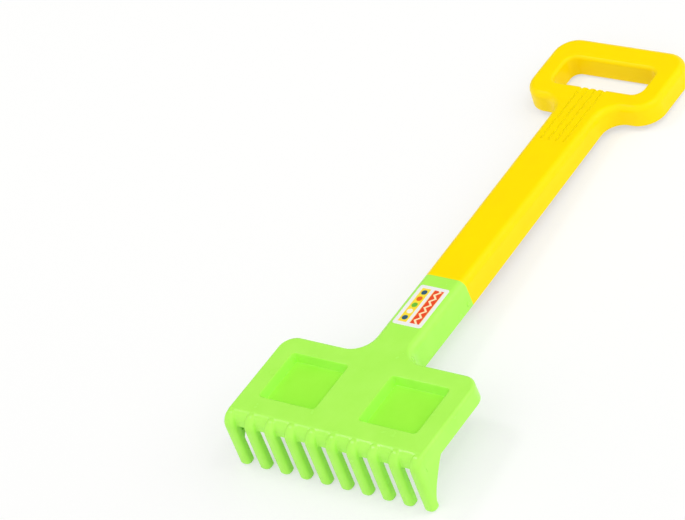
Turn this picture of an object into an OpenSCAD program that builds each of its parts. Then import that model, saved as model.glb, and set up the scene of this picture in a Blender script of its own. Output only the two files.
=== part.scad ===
// Children's sand rake: a moulded rake head with ten tines, a separate moulded D-grip
// handle whose tongue snaps into the neck of the head, and a sticker on the neck.
// Each moulding is first built level, with its flat top at height 0, the back edge of the
// plate at y = 0, the tines towards -Y and the grip towards +Y. It is then tipped to the
// pose it lies in: tine tips and grip end on the ground, middle of the row above the origin.

/* [Head plate] */
// Width of the plate at its top face, before its edges are rounded
plate_w = 194.6; // [150:0.1:260]
// Length of the plate from its back edge to the front web
plate_len = 95; // [70:0.5:130]
// Depth of the side and back skirts below the top face
skirt_h = 16; // [13:0.5:24]
// Depth of the front web between the tines
web_h = 12.3; // [9.5:0.1:13]
// Radius of the two back corners seen from above
plate_corner_r = 14.5; // [6:0.5:20]
// Radius of the two front corners seen from above
front_corner_r = 5; // [2.6:0.1:8]
// Rounding of the plate's top edges
plate_edge_r = 2.6; // [1:0.1:4]
// Radius of the front edge rolling over into the front web
web_roll_r = 8.5; // [5:0.1:9]
// Wall thickness of the head moulding
head_wall = 2.6; // [1.8:0.1:3.2]
// Draft angle of all outer walls, in degrees
draft = 1.8; // [0.5:0.1:3]

/* [Pockets] */
// Width of each square pocket in the plate
pocket_w = 57.2; // [35:0.1:62]
// Length of each pocket
pocket_len = 52.4; // [35:0.1:60]
// Flat strip between the two pockets
pocket_gap = 43.3; // [35:0.1:60]
// Flat strip between the plate's back edge and the pockets
pocket_back = 17.8; // [10:0.1:20]
// Depth of the pocket floors below the top face
pocket_depth = 6.3; // [2:0.1:7]
// Run of the sloping pocket walls
pocket_slope = 3.7; // [1:0.1:6]
// Corner radius of the pockets at the top face
pocket_r = 3.4; // [1.5:0.1:8]

/* [Tines] */
// Number of tines
tine_count = 10; // [8:1:10]
// How far the end tines stand out past the rims of the side skirts
tine_out = 0.1; // [0:0.1:1]
// Width of a tine
tine_w = 10.4; // [7:0.1:12]
// Depth of a tine from front to back
tine_t = 8.2; // [5:0.1:10]
// How far the tines stand in front of the web
tine_proud = 5.5; // [3:0.1:7]
// Height from the top face to the tips
tine_drop = 54; // [40:0.5:75]
// Radius over which a tine leaves the top face
tine_roll_r = 11; // [8:0.5:11]
// Rounding of a tine's two front edges
tine_nose_r = 4; // [1:0.1:4.5]
// Rounding of a tip's sides
tine_tip_r = 3.6; // [1:0.1:4.5]
// Length of the gussets that run from the side skirts into the end tines
gusset_len = 22; // [10:1:35]
// Drop of those gussets below the side skirts
gusset_drop = 19; // [10:1:30]

/* [Neck and joint] */
// Width of neck and handle at their joint, before their edges are rounded
neck_w = 41.2; // [36:0.1:50]
// Length of the neck from the plate's back edge to the joint
neck_len = 95.3; // [80:0.1:120]
// Depth of the neck, and of the handle where it leaves the neck
neck_h = 25.5; // [21:0.5:30]
// Rounding of the top edges of neck and shaft
neck_edge_r = 6.8; // [3:0.1:8]
// Radius between neck and plate, seen from above
neck_fillet_r = 19; // [8:0.5:26]
// Length of the handle's tongue inside the neck
tongue_len = 58; // [40:1:62]
// Clearance between tongue and socket
tongue_clear = 0.3; // [0.2:0.05:0.5]
// Radius of the snap pips on the tongue's sides
pip_r = 2.2; // [1.5:0.1:3]
// Height of the snap pips
pip_h = 0.8; // [0.5:0.1:1.1]
// Distance of the snap pips from the joint
pip_back = 5; // [4:0.5:12]

/* [Handle] */
// Wall thickness of the handle moulding
handle_wall = 2.4; // [1.8:0.1:3]
// Length from the joint to the far end of the grip
handle_len = 308; // [260:1:400]
// Width of the shaft where it meets the grip
shaft_w = 46.6; // [36:0.1:54]
// Depth of the grip
grip_h = 19.5; // [16:0.5:24]
// Length over which the shaft thins down to the depth of the grip
taper_len = 215; // [120:1:240]
// Number of cross ribs under the shaft
shaft_ribs = 7; // [3:1:9]

/* [Grip] */
// Width across the grip
grip_w = 132; // [115:0.1:160]
// Length of the grip along the handle
grip_len = 78; // [66:0.5:95]
// Corner radius of the grip, seen from above
grip_corner_r = 21; // [12:0.5:26]
// Radius between shaft and grip, seen from above
grip_fillet_r = 18; // [8:0.5:24]
// Rounding of the grip's outer top edge
grip_edge_r = 6; // [2:0.1:8]
// Width of the hand slot
slot_w = 91; // [70:0.5:100]
// Length of the hand slot along the handle
slot_len = 34.5; // [28:0.5:42]
// Bar between the hand slot and the far end of the grip
grip_bar = 25; // [18:0.5:30]
// Corner radius of the hand slot
slot_r = 9; // [5:0.5:14]
// Rounding of the slot's top edge
slot_edge_r = 3.6; // [1:0.1:5]

/* [Grooves] */
// Number of grooves on the shaft in front of the slot
groove_count = 4; // [2:1:5]
// Distance from groove to groove
groove_pitch = 7.7; // [5:0.1:8]
// Width of a groove
groove_w = 1.9; // [1:0.1:3]
// Depth of a groove
groove_depth = 1.5; // [0.5:0.1:1.8]
// Length of the grooves from the slot towards the joint
groove_len = 72; // [30:1:120]

/* [Ribs and sticker] */
// Thickness of the ribs under both mouldings
rib_t = 1.8; // [1.2:0.1:2.4]
// Distance that the ribs stay above the rim of the walls around them
rib_shy = 4; // [2:0.5:6]
// Width of the sticker on the neck
label_w = 29; // [20:0.5:30]
// Length of the sticker
label_len = 47; // [30:0.5:60]
// Distance from the joint to the sticker
label_back = 12.3; // [6:0.1:20]
// Corner radius of the sticker
label_r = 2.4; // [1:0.1:5]
// Thickness of the sticker
label_t = 0.2; // [0.1:0.05:0.3]

/* [Hidden] */
$fn = 48;

// How far a cut runs past the face that it opens
over = 1;
// Smallest radius that an inner corner is given
tight_r = 0.4;
// Segments in the arc of a corner seen from above, and in the rounding of an edge
corner_steps = 8;
edge_steps = 6;

// Outward lean of the drafted walls for each millimetre of depth
lean = tan(draft);

// Places along Y, from the tines to the grip
web_y = -plate_len;
tine_front_y = web_y - tine_proud;
tine_back_y = tine_front_y + tine_t;
toe_r = tine_t / 2;
toe_y = tine_front_y + toe_r;
toe_z = toe_r - tine_drop;
tine_sink = tight_r / 2;
joint_y = neck_len;
grip_end_y = joint_y + handle_len;
grip_middle_y = grip_end_y - grip_len / 2;
grip_near_y = grip_end_y - grip_len;
slot_far_y = grip_end_y - grip_bar;
slot_near_y = slot_far_y - slot_len;
socket_end_y = joint_y - tongue_len - 3 * tongue_clear;
pip_y = joint_y - pip_back;
skirt_end_y = web_y + head_wall + rib_t;

// Half widths
neck_x = neck_w / 2;
shaft_x = shaft_w / 2;
plate_x = plate_w / 2;
grip_x = grip_w / 2;
row_x = plate_x + lean * skirt_h + tine_out - tine_w / 2;
tine_pitch = 2 * row_x / (tine_count - 1);
gusset_x = plate_x + lean * skirt_h / 2;

// The tip of the toe and the far bottom edge of the grip both touch the ground at this tilt
grip_low_y = grip_end_y + lean * grip_h;
rest_dy = grip_low_y - toe_y;
rest_dz = -grip_h - toe_z;
tilt = asin(toe_r / norm([rest_dy, rest_dz])) + atan2(rest_dz, rest_dy);
ground_z = toe_z * cos(tilt) - toe_y * sin(tilt) - toe_r;
front_y = toe_y * cos(tilt) + toe_z * sin(tilt) - toe_r;
back_y = (grip_end_y - grip_edge_r) * cos(tilt) - grip_edge_r * sin(tilt) + grip_edge_r;
middle_y = (front_y + back_y) / 2;

// Inset of a wall at a depth below the edge that rounds it with radius r
function rounding(r, depth) = depth >= r ? 0 : r - sqrt(r * r - (r - depth) * (r - depth));

// Depths at which a form is cut: close together over the rounded edge, then straight down
function depths(r, top, bottom) =
    concat([for (k = [0 : edge_steps]) top + r * (1 - cos(90 * k / edge_steps))], [bottom]);

// Inward unit normal of the side from a to b of an outline that runs counterclockwise
function inward(a, b) = [a[1] - b[1], b[0] - a[0]] / norm(b - a);

// Corner where two sides meet once each has moved inwards along its own normal
function moved(c, n1, n2, d1, d2) =
    let (det = n1[0] * n2[1] - n1[1] * n2[0])
    c + [d1 * n2[1] - d2 * n1[1], d2 * n1[0] - d1 * n2[0]] / det;

// Points of the arc that rounds corner c between the directions to its neighbours
function corner_arc(c, to_a, to_b, r) =
    let (
        mid = (to_a + to_b) / norm(to_a + to_b),
        half = acos(to_a * to_b) / 2,
        centre = c + mid * r / sin(half),
        start = c + to_a * r / tan(half) - centre,
        turn = (to_a[0] * to_b[1] - to_a[1] * to_b[0] > 0 ? -1 : 1) * (180 - 2 * half)
    )
    [for (k = [0 : corner_steps])
        let (a = turn * k / corner_steps)
        centre + [start[0] * cos(a) - start[1] * sin(a), start[0] * sin(a) + start[1] * cos(a)]];

// One closed section: corners are [x, y, radius], and insets has one value for each side,
// the side after each corner. A corner's radius shrinks or grows as its sides move.
function section(corners, insets) =
    let (
        n = len(corners),
        at = [for (c = corners) [c[0], c[1]]],
        side = [for (i = [0 : n - 1]) inward(at[i], at[(i + 1) % n])],
        spot = [for (i = [0 : n - 1])
            let (j = (i + n - 1) % n) moved(at[i], side[j], side[i], insets[j], insets[i])]
    )
    [for (i = [0 : n - 1])
        let (
            before = spot[(i + n - 1) % n] - spot[i],
            after = spot[(i + 1) % n] - spot[i],
            hollow = before[0] * after[1] - before[1] * after[0] > 0,
            change = (insets[(i + n - 1) % n] + insets[i]) / 2,
            r = max(corners[i][2] + (hollow ? change : -change), tight_r)
        )
        each (corners[i][2] == 0 ? [spot[i]]
            : corner_arc(spot[i], before / norm(before), after / norm(after), r))];

// Solid through the sections of one outline. Each level is [depth, insets of the sides].
// The hub is a point from which every corner of the outline can be seen.
module form(corners, levels, hub) {
    rings = [for (l = levels) section(corners, l[1])];
    n = len(rings[0]);
    last = len(levels) - 1;
    points = [for (k = [0 : last]) for (p = rings[k]) [p[0], p[1], -levels[k][0]]];
    hubs = [for (k = [0, last]) [hub[0], hub[1], -levels[k][0]]];
    top_hub = len(points);
    walls = [for (k = [0 : last - 1]) for (j = [0 : n - 1])
        let (a = k * n + j, b = k * n + (j + 1) % n)
        each [[a, b, b + n], [a, b + n, a + n]]];
    caps = [for (j = [0 : n - 1])
        let (i = (j + 1) % n, floor_j = last * n)
        each [[top_hub, i, j], [top_hub + 1, floor_j + j, floor_j + i]]];
    polyhedron(concat(points, hubs), concat(walls, caps));
}

// Levels of an outer form: rims gives the rounding of each side's top edge
function outer_levels(rims, bottom) =
    [for (d = depths(max(rims), 0, bottom)) [d, [for (r = rims) rounding(r, d) - lean * d]]];

// Levels of the hollow inside it: walls gives each side's wall, below zero where it is open
function hollow_levels(rims, walls, top, bottom) =
    [for (d = depths(max(max(rims) - top, tight_r), top, bottom))
        [d, [for (i = [0 : len(rims) - 1])
            walls[i] + rounding(max(rims[i] - top, tight_r), d - top) - lean * d]]];

// Outline from one half of it, mirrored at the middle plane
function both_halves(half) =
    let (n = len(half))
    concat(half, [for (i = [n - 1 : -1 : 0]) [-half[i][0], half[i][1], half[i][2]]]);

// Rectangle with equal corner radii, counterclockwise
function rounded_box(w, y0, y1, r) =
    [[w / 2, y0, r], [w / 2, y1, r], [-w / 2, y1, r], [-w / 2, y0, r]];

// The head from above: right half from the front web to the joint, then the left half back
head_outline = both_halves([
    [plate_x, web_y, front_corner_r],
    [plate_x, 0, plate_corner_r],
    [neck_x, 0, neck_fillet_r],
    [neck_x, joint_y + over, 0]
]);
head_hub = [0, web_y / 2];
head_rims = [plate_edge_r, plate_edge_r, neck_edge_r, 0,
    neck_edge_r, plate_edge_r, plate_edge_r, web_roll_r];
head_walls = [head_wall, head_wall, head_wall, 0,
    head_wall, head_wall, head_wall, head_wall + lean * neck_h];

// The handle from above: right half from the joint to the far end, then the left half back
shaft_flare = (shaft_x - neck_x) / (grip_near_y - joint_y);
handle_outline = both_halves([
    [neck_x - shaft_flare * over, joint_y - over, 0],
    [shaft_x, grip_near_y, grip_fillet_r],
    [grip_x, grip_near_y, grip_corner_r],
    [grip_x, grip_end_y, grip_corner_r]
]);
handle_hub = [0, grip_middle_y];
handle_rims = [neck_edge_r, grip_edge_r, grip_edge_r, grip_edge_r,
    grip_edge_r, grip_edge_r, neck_edge_r, 0];
handle_walls = [for (i = [0 : 7]) handle_wall + (i == 7 ? over : 0)];

// The straight length of neck that takes the tongue
function neck_outline(y0) =
    [[neck_x, y0, 0], [neck_x, joint_y, 0], [-neck_x, joint_y, 0], [-neck_x, y0, 0]];
neck_rims = [neck_edge_r, 0, neck_edge_r, 0];
neck_hub = [0, joint_y - tongue_len / 2];

// A side view, drawn as [y, z], between two planes across X
module along_x(x0, x1) {
    translate([x0, 0, 0]) rotate([90, 0, 90]) linear_extrude(x1 - x0) children();
}

// A plain block between two corners
module block(a, b) {
    translate(a) cube(b - a);
}

// A tine: its front view, side view and cross section cut from one another
module tine() {
    intersection() {
        along_x(-tine_w / 2, tine_w / 2) tine_side();
        translate([0, tine_front_y, -tine_drop]) linear_extrude(tine_drop) tine_section();
        translate([0, web_y + web_roll_r - over, 0]) rotate([90, 0, 0])
            linear_extrude(tine_proud + web_roll_r) tine_face();
    }
}

// Cross section of a tine, flat at the back and rounded at the front
module tine_section() {
    nose_x = tine_w / 2 - tine_nose_r;
    translate([-tine_w / 2, tine_nose_r]) square([tine_w, tine_roll_r]);
    translate([-nose_x, 0]) square([2 * nose_x, tine_nose_r + over]);
    for (side = [-1, 1]) translate([side * nose_x, tine_nose_r]) circle(tine_nose_r);
}

// Side view of a tine, rolled over at the top and half round at the tip
module tine_side() {
    roll_y = tine_front_y + tine_roll_r;
    roll_z = -tine_roll_r - tine_sink;
    translate([tine_front_y, toe_z]) square([tine_t, roll_z - toe_z]);
    translate([toe_y, toe_z]) circle(toe_r);
    intersection() {
        translate([roll_y, roll_z]) circle(tine_roll_r, $fn = 2 * $fn);
        translate([tine_front_y, roll_z]) square(tine_roll_r);
    }
    translate([roll_y - over, roll_z]) square([web_roll_r, tine_roll_r]);
}

// Front view of a tine, with its knob's rounded shoulders and its rounded tip
module tine_face() {
    tip_x = tine_w / 2 - tine_tip_r;
    knob_x = tine_w / 2 - tine_nose_r;
    knob_z = -tine_sink - tine_nose_r;
    translate([-tine_w / 2, tine_tip_r - tine_drop])
        square([tine_w, tine_drop - tine_tip_r + knob_z]);
    translate([-tip_x, -tine_drop]) square([2 * tip_x, tine_tip_r + over]);
    translate([-knob_x, knob_z - over]) square([2 * knob_x, tine_nose_r + over]);
    for (side = [-1, 1]) {
        translate([side * tip_x, tine_tip_r - tine_drop]) circle(tine_tip_r);
        translate([side * knob_x, knob_z]) circle(tine_nose_r);
    }
}

// Side view of a gusset, from the lower rim of the side skirt into the back of the end tine
module gusset_side() {
    polygon([
        [tine_back_y + gusset_len, -web_h + head_wall],
        [tine_back_y + gusset_len, -skirt_h],
        [tine_back_y, -skirt_h - gusset_drop],
        [toe_y, -skirt_h - gusset_drop],
        [toe_y, -web_h + head_wall]
    ]);
}

// Side view of all that the head may fill: shallow plate, deep neck
module head_side() {
    polygon([
        [web_y - over, over],
        [joint_y, over],
        [joint_y, -neck_h],
        [skirt_h, -neck_h],
        [0, -skirt_h],
        [skirt_end_y, -skirt_h],
        [skirt_end_y, -web_h],
        [web_y - over, -web_h]
    ]);
}

// A pocket's hollow, or with a grown outline and more depth the pan that it leaves below
module pocket_form(grow, top, depth) {
    corners = rounded_box(pocket_w, -pocket_back - pocket_len, -pocket_back, pocket_r);
    run = pocket_slope * (1 + top / pocket_depth);
    form(corners, [
        [-top, [for (i = [0 : 3]) -grow - run + pocket_slope]],
        [depth, [for (i = [0 : 3]) pocket_slope - grow]]
    ], [0, -pocket_back - pocket_len / 2]);
}

// Puts a copy on each side of the middle plane
module on_both_sides(x) {
    for (side = [-1, 1]) translate([side * x, 0, 0]) mirror([side < 0 ? 1 : 0, 0, 0]) children();
}

// The snap pip, a button with a bevelled rim that stands out from a plane across X
module pip(grow) {
    translate([-pip_h, 0, 0]) rotate([0, 90, 0])
        cylinder(2 * pip_h + grow, pip_r + pip_h + grow, pip_r - pip_h + grow);
}

// Heights of the tongue's faces, and the plane of its sides half way up
tongue_top = head_wall + tongue_clear;
tongue_bottom = neck_h - head_wall - tongue_clear;
pip_z = pip_r + tongue_clear - tongue_bottom;
tongue_x = neck_x - head_wall - tongue_clear - lean * pip_z;

// The head as it leaves the mould: everything solid, less the hollow, pockets and socket
module head_level() {
    difference() {
        union() {
            intersection() {
                form(head_outline, outer_levels(head_rims, neck_h + over), head_hub);
                along_x(-plate_w, plate_w) head_side();
            }
            for (i = [0 : tine_count - 1]) translate([i * tine_pitch - row_x, 0, 0]) tine();
            on_both_sides(gusset_x - head_wall) along_x(0, head_wall) gusset_side();
            on_both_sides(tongue_x + tongue_clear + head_wall)
                translate([0, pip_y, pip_z]) pip(0);
        }
        head_hollow();
        on_both_sides((pocket_gap + pocket_w) / 2) pocket_form(0, over, pocket_depth);
        socket();
    }
}

// The open underside of the plate and of the neck's root, round the pans of the pockets
// and round the ribs
module head_hollow() {
    difference() {
        intersection() {
            form(head_outline, hollow_levels(head_rims, head_walls, head_wall, neck_h + 2 * over),
                head_hub);
            block([-plate_w, web_y, -neck_h - 3 * over], [plate_w, socket_end_y - head_wall, 0]);
        }
        on_both_sides((pocket_gap + pocket_w) / 2)
            pocket_form(head_wall, 0, pocket_depth + head_wall);
        head_ribs();
    }
}

// The closed socket that holds the tongue, with a detent for each snap pip
module socket() {
    form(neck_outline(socket_end_y), hollow_levels(neck_rims, [head_wall, -over, head_wall, 0],
        head_wall, neck_h - head_wall), neck_hub);
    on_both_sides(tongue_x) translate([0, pip_y, pip_z]) pip(tongue_clear);
}

// Ribs under the plate: two run from the socket's end to the web, two pass below the
// pockets and one joins them all across
module head_ribs() {
    cross_y = -pocket_back - pocket_len / 2;
    for (x = [neck_x - head_wall - rib_t, (pocket_gap + pocket_w) / 2])
        on_both_sides(x) block([-rib_t / 2, web_y, rib_shy - skirt_h], [rib_t / 2, joint_y, over]);
    block([-plate_w, cross_y - rib_t / 2, rib_shy - skirt_h], [plate_w, cross_y + rib_t / 2, over]);
}

// Side view of all that the handle may fill: full depth at the joint, thinner at the grip.
// Its lower edge stays the distance shy above the rim.
module handle_side(shy) {
    polygon([
        [joint_y, over],
        [grip_end_y + grip_h, over],
        [grip_end_y + grip_h, shy - grip_h],
        [joint_y + taper_len, shy - grip_h],
        [joint_y, shy - neck_h]
    ]);
}

// The hand slot, wider at its rounded top edge; grow adds the wall that surrounds it
module slot_form(grow, bottom) {
    corners = rounded_box(slot_w, slot_near_y, slot_far_y, slot_r);
    form(corners, concat([[-over, [for (i = [0 : 3]) -slot_edge_r - grow]]],
        [for (d = depths(slot_edge_r, 0, bottom))
            [d, [for (i = [0 : 3]) lean * d - rounding(slot_edge_r, d) - grow]]]),
        [0, (slot_near_y + slot_far_y) / 2]);
}

// A groove, half round, with a round end
module groove() {
    end_y = slot_near_y - groove_len;
    sink = groove_depth - groove_w / 2;
    translate([0, end_y, -sink]) rotate([-90, 0, 0])
        cylinder(groove_len + slot_edge_r, d = groove_w, $fn = 24);
    translate([0, end_y, -sink]) sphere(d = groove_w, $fn = 24);
    block([-groove_w / 2, end_y, -sink], [groove_w / 2, slot_near_y + slot_edge_r, over]);
}

// Cross ribs and one long rib inside the shaft, and short ribs inside the grip
module handle_ribs() {
    step = (grip_near_y - joint_y) / shaft_ribs;
    slot_mid_y = (slot_near_y + slot_far_y) / 2;
    bar_pitch = slot_w / 5;
    intersection() {
        union() {
            for (y = [for (i = [1 : shaft_ribs]) joint_y + i * step])
                block([-grip_w, y - rib_t / 2, -neck_h], [grip_w, y + rib_t / 2, over]);
            block([-rib_t / 2, joint_y, -neck_h], [rib_t / 2, slot_mid_y, over]);
            for (x = [for (i = [-2 : 2]) i * bar_pitch])
                block([x - rib_t / 2, slot_mid_y, -neck_h], [x + rib_t / 2, grip_end_y, over]);
            block([-grip_w, slot_mid_y - rib_t / 2, -neck_h], [grip_w, slot_mid_y + rib_t / 2, over]);
        }
        along_x(-grip_w, grip_w) handle_side(rib_shy);
    }
}

// The tongue: the socket's shape less the clearance, with its snap pips
module tongue() {
    side_in = head_wall + tongue_clear;
    form(neck_outline(joint_y - tongue_len),
        hollow_levels(neck_rims, [side_in, -handle_wall / 2, side_in, 0], tongue_top, tongue_bottom),
        neck_hub);
    on_both_sides(tongue_x) translate([0, pip_y, pip_z]) pip(0);
}

// The open underside of the tongue, round its cross ribs
module tongue_hollow() {
    side_in = head_wall + tongue_clear + handle_wall;
    difference() {
        form(neck_outline(joint_y - tongue_len),
            hollow_levels(neck_rims, [side_in, handle_wall / 2, side_in, handle_wall],
                tongue_top + handle_wall, neck_h + over),
            neck_hub);
        for (y = [for (i = [1 : 3]) joint_y - i * tongue_len / 4])
            block([-neck_x, y - rib_t / 2, rib_shy - tongue_bottom], [neck_x, y + rib_t / 2, 0]);
    }
}

// The open underside of shaft and grip, round the wall of the hand slot and round the ribs
module handle_hollow() {
    difference() {
        form(handle_outline,
            hollow_levels(handle_rims, handle_walls, handle_wall, neck_h + 2 * over), handle_hub);
        slot_form(handle_wall, neck_h + 3 * over);
        handle_ribs();
    }
}

// The handle as it leaves the mould
module handle_level() {
    difference() {
        union() {
            intersection() {
                form(handle_outline, outer_levels(handle_rims, neck_h + over), handle_hub);
                along_x(-grip_w, grip_w) handle_side(0);
            }
            tongue();
        }
        handle_hollow();
        tongue_hollow();
        slot_form(0, neck_h + 2 * over);
        for (i = [0 : groove_count - 1])
            translate([(i - (groove_count - 1) / 2) * groove_pitch, 0, 0]) groove();
    }
}

// The sticker, a thin sheet with rounded corners on the neck's flat top
module label_level() {
    far_y = joint_y - label_back;
    near_y = far_y - label_len;
    block([-label_w / 2 + label_r, near_y, 0], [label_w / 2 - label_r, far_y, label_t]);
    block([-label_w / 2, near_y + label_r, 0], [label_w / 2, far_y - label_r, label_t]);
    for (x = [-1, 1]) for (y = [near_y + label_r, far_y - label_r])
        translate([x * (label_w / 2 - label_r), y, 0]) cylinder(label_t, r = label_r);
}

// Tips a level moulding into the pose in which the rake lies on the ground
module lying() {
    translate([0, -middle_y, -ground_z]) rotate([-tilt, 0, 0]) children();
}

module rake_head() {
    color([0.69, 0.96, 0.36]) lying() head_level();
}

module handle() {
    color([1.0, 0.9, 0.02]) lying() handle_level();
}

module label() {
    color([0.96, 0.96, 0.94]) lying() label_level();
}

rake_head();
handle();
label();
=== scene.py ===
"""Dresses the packed sand rake: smooth mouldings, the sticker, floor, lamps and camera.

All shapes are worked out in millimetres in the level frame of the mouldings: flat top at
height 0, back edge of the plate at y = 0, tines towards -Y, grip towards +Y. They are then
tipped on to the ground and turned to metres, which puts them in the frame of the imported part.
"""

import logging
import math
from dataclasses import dataclass
from enum import Enum
from typing import Sequence

import bpy
import numpy as np
from mathutils import Matrix


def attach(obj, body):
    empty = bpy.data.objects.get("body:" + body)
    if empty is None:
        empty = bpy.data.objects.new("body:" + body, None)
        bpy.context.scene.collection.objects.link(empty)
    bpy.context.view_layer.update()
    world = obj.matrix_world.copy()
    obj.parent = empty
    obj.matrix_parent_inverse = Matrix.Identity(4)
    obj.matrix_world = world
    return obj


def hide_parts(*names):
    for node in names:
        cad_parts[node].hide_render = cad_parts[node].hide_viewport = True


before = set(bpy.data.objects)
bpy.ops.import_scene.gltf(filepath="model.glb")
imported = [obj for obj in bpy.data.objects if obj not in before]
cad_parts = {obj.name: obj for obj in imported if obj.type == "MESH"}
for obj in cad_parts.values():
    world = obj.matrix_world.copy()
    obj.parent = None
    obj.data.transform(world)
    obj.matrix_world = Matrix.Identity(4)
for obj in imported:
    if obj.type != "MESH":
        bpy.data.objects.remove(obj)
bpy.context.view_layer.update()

LOG = logging.getLogger("sand_rake")
# Metres in a millimetre
MM = 0.001
# Overrun of a cut past the surface that it goes through
OVER = 1.0
# Least radius of an inner edge, and a small step below the flat top or a floor
TIGHT = 0.4
# Least radius of a corner seen from above, and how far a face has to lie below the flat top, or
# to look upwards, to count as sunk
FINE = 0.1
# Slack between two sizes that would be equal
HAIR = 0.001
# Least and most of a noise, which is stretched between them
FAINT, FULL = 0.3, 0.7
# Sideways run of a drafted wall for each unit of depth
LEAN = math.tan(math.radians(1.8))


# Shapes


class Cut(Enum):
    """How one solid acts on another."""

    JOIN = "UNION"
    TAKE = "DIFFERENCE"
    KEEP = "INTERSECT"


class OfFace(Enum):
    """What can be read from every face of a mesh."""

    MIDDLE = "center"
    NORMAL = "normal"


@dataclass(frozen=True)
class Solid:
    """A closed surface as arrays, in millimetres in the level frame."""

    points: np.ndarray
    faces: list

    def mirrored(self) -> "Solid":
        """The same solid on the other side of the plane x = 0, still facing outwards."""
        return Solid(self.points * [-1.0, 1.0, 1.0], [f[::-1] for f in self.faces])

    def moved(self, x: float) -> "Solid":
        """The same solid at another place along X."""
        return Solid(self.points + [x, 0.0, 0.0], self.faces)


def gathered(solids: Sequence[Solid]) -> Solid:
    """Puts solids that don't touch into one.

    Args:
        solids: Closed solids that lie apart.

    Returns:
        One solid with all their points and faces.
    """
    starts = np.cumsum([0] + [len(s.points) for s in solids])
    faces = [[i + a for i in f] for s, a in zip(solids, starts.tolist()) for f in s.faces]
    return Solid(np.concatenate([s.points for s in solids]), faces)


def both(solid: Solid) -> Solid:
    """A solid and its mirror image."""
    return gathered([solid, solid.mirrored()])


def tube_faces(rings: int, count: int) -> list:
    """Faces of a closed tube of rings, each with count points, with both ends capped.

    The wall between two rings is a grid of quads, and each end is one polygon. Seen from
    outside the first ring's end, the rings run counterclockwise.

    Args:
        rings: Number of rings.
        count: Number of points in a ring.

    Returns:
        Lists of point numbers, facing outwards.
    """
    k, j = np.meshgrid(np.arange(rings - 1), np.arange(count), indexing="ij")
    a, b = k * count + j, k * count + (j + 1) % count
    walls = np.stack([a, a + count, b + count, b], -1).reshape(-1, 4).tolist()
    last = (rings - 1) * count
    return walls + [list(range(count)), list(range(last + count - 1, last - 1, -1))]


def unit(vectors: np.ndarray) -> np.ndarray:
    """Vectors of length 1 with the same directions, whose coordinates lie on the last axis."""
    return vectors / np.linalg.norm(vectors, axis=-1, keepdims=True)


def fall(r: float | np.ndarray, past: np.ndarray) -> np.ndarray:
    """How far a circle has left its tangent: r less the root of r squared less past squared."""
    return r - np.sqrt(np.clip(r * r - past * past, 0.0, None))


def rounding(r: float | np.ndarray, depth: np.ndarray) -> np.ndarray:
    """Inset of a wall at a depth below its top, whose edge is a quarter circle of radius r."""
    return fall(r, np.clip(r - depth, 0.0, None))


def quarter(r: float, steps: int) -> np.ndarray:
    """Depths over a quarter circle of radius r, close together at its top."""
    return r * (1.0 - np.cos(np.linspace(0.0, math.pi / 2, steps + 1)))


def drafted(rims: np.ndarray, depth: np.ndarray, walls: float | np.ndarray = 0.0,
            top: float = 0.0) -> np.ndarray:
    """Insets of a moulded form, or of the room in it, at a row of depths.

    Each side starts one wall inside the outline, is rounded at its top edge and leans
    outwards with the draft.

    Args:
        rims: Radius of the top edge on each side of the outline.
        depth: Depths below the flat top.
        walls: Thickness of the wall on each side.
        top: Depth at which the form starts.

    Returns:
        Array of depths by sides.
    """
    return walls + rounding(rims[None, :], depth[:, None] - top) - LEAN * depth[:, None]


def curve(ends: Sequence[Sequence[float]], steps: int) -> np.ndarray:
    """Points on a quadratic Bezier curve.

    At a share of the way, the start counts by the square of the share that is left, the end
    by the square of the share, and the bend by what those two squares leave of one.

    Args:
        ends: The start, the bend and the end.
        steps: Number of points.

    Returns:
        Rows of coordinates.
    """
    start, bend, end = np.array(ends)
    share = np.linspace(0, 1, steps)[:, None]
    return (1 - share) ** 2 * start + 2 * share * (1 - share) * bend + share**2 * end


def from_nearest(x: np.ndarray, places: np.ndarray) -> np.ndarray:
    """Distance from each x to the nearest of some places."""
    return np.abs(x[:, None] - places).min(1)


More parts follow.
